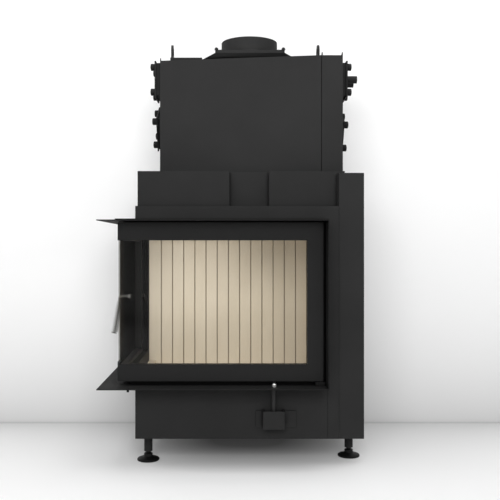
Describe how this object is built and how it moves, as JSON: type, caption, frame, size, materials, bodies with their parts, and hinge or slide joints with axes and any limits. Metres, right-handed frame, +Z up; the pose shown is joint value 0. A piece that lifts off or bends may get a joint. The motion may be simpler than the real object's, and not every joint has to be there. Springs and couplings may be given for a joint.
{
  "type": "corner fireplace insert",
  "caption": "Corner wood fireplace insert with a glazed L-shaped side-hinged door, grooved firebrick chamber, air lever, flue collar and levelling feet.",
  "frame": {"origin": "on the floor under the centre of the bounding box", "axes": "+X to the viewer's right, -Y to the viewer at the front, +Z up"},
  "size_m": [0.8978, 0.697, 1.447],
  "materials": {
    "body_black": "matte",
    "trim_black": "matte",
    "seat_black": "matte",
    "chamber_steel": "matte",
    "firebrick": "matte",
    "casing_black": "matte",
    "cover_black": "matte",
    "door_black": "satin",
    "door_glass": "gloss",
    "seal_rope": "matte",
    "stainless": "satin",
    "latch_steel": "satin",
    "foot_steel": "satin"
  },
  "bodies": {
    "fireplace": {"air_box": "body_black", "air_inlet": "body_black", "baffle": "firebrick", "base_frame": "body_black", "body_top": "body_black", "casing_back": "casing_black", "casing_front": "casing_black", "casing_left": "casing_black", "casing_right": "casing_black", "casing_top": "casing_black", "chamber_roof": "chamber_steel", "chamber_shell": "chamber_steel", "cover_left_lower": "cover_black", "cover_left_upper": "cover_black", "cover_right_lower": "cover_black", "cover_right_upper": "cover_black", "firebrick_back": "firebrick", "firebrick_floor": "firebrick", "firebrick_right": "firebrick", "flue_collar": "casing_black", "flue_flange": "casing_black", "flue_hood": "casing_black", "front_panel_lower": "body_black", "front_panel_right": "body_black", "front_surround": "body_black", "header_left": "body_black", "header_right": "body_black", "hinge_block": "trim_black", "hinge_pin_top": "trim_black", "lifting_lug_left": "casing_black", "lifting_lug_right": "casing_black", "notch_back": "body_black", "rear_panel": "body_black", "seat_bottom": "seat_black", "seat_post": "seat_black", "seat_right": "seat_black", "seat_top": "seat_black", "sensor_stub": "cover_black", "side_panel_left": "body_black", "side_panel_right": "body_black", "trim_bottom": "trim_black", "trim_rear": "trim_black", "trim_right": "trim_black", "trim_top": "trim_black"},
    "door": {"door_rail_top": "door_black", "door_rail_bottom": "door_black", "door_stile_hinge": "door_black", "door_stile_latch": "door_black", "glass_front": "door_glass", "glass_side": "door_glass", "door_seal": "seal_rope"},
    "handle": {"handle": "stainless", "grip_coil": "stainless", "latch_cam": "latch_steel"},
    "air_lever": {"air_lever": "latch_steel", "lever_tip": "stainless"},
    "foot_front_left": {"foot_front_left": "foot_steel"},
    "foot_front_right": {"foot_front_right": "foot_steel"},
    "foot_rear_left": {"foot_rear_left": "foot_steel"},
    "foot_rear_right": {"foot_rear_right": "foot_steel"}
  },
  "joints": [
    {"name": "door_swing", "type": "hinge", "parent": "fireplace", "child": "door", "pos_m": [0.2889, -0.2795, 0.54], "axis": [0, 0, 1], "range_deg": [0, 90]},
    {"name": "handle_turn", "type": "hinge", "parent": "door", "child": "handle", "pos_m": [-0.3639, 0.1105, 0.53], "axis": [-1, 0, 0], "range_deg": [0, 75]},
    {"name": "air_lever_turn", "type": "hinge", "parent": "fireplace", "child": "air_lever", "pos_m": [0.1373, -0.2665, 0.2], "axis": [0, 0, 1], "range_deg": [-45, 45]},
    {"name": "foot_front_left_screw", "type": "slide", "parent": "fireplace", "child": "foot_front_left", "axis": [0, 0, -1], "range_m": [0, 0.04]},
    {"name": "foot_front_right_screw", "type": "slide", "parent": "fireplace", "child": "foot_front_right", "axis": [0, 0, -1], "range_m": [0, 0.04]},
    {"name": "foot_rear_left_screw", "type": "slide", "parent": "fireplace", "child": "foot_rear_left", "axis": [0, 0, -1], "range_m": [0, 0.04]},
    {"name": "foot_rear_right_screw", "type": "slide", "parent": "fireplace", "child": "foot_rear_right", "axis": [0, 0, -1], "range_m": [0, 0.04]}
  ]
}
